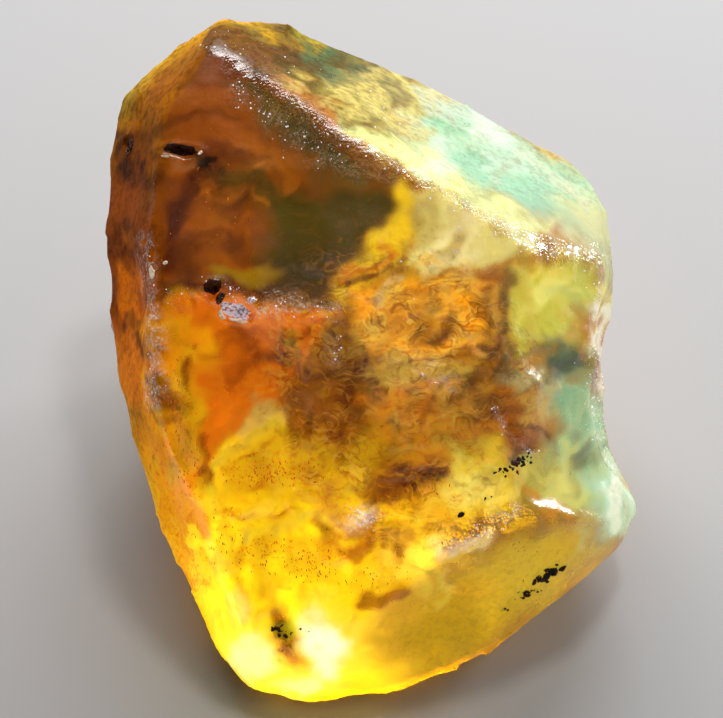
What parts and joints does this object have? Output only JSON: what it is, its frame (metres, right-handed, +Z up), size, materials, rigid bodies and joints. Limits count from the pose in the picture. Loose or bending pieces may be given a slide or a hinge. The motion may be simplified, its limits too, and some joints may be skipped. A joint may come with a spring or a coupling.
{
  "type": "rough blue amber",
  "caption": "Rough lump of see-through blue amber, broken and worn, with a flat underside that it rests on.",
  "frame": {"origin": "on the ground, under the middle of the lump's box", "axes": "+Z up from the flat underside; +X to the right and +Y to the back, so that the broad face looks forward and up"},
  "size_m": [0.0314, 0.0352, 0.0261],
  "materials": {
    "amber": "rough broken amber, clear to cloudy, worn at the edges; yellow to orange-brown with a blue-green bloom on its right and top"
  },
  "bodies": {
    "root": {"amber_lump": "amber"}
  },
  "joints": []
}
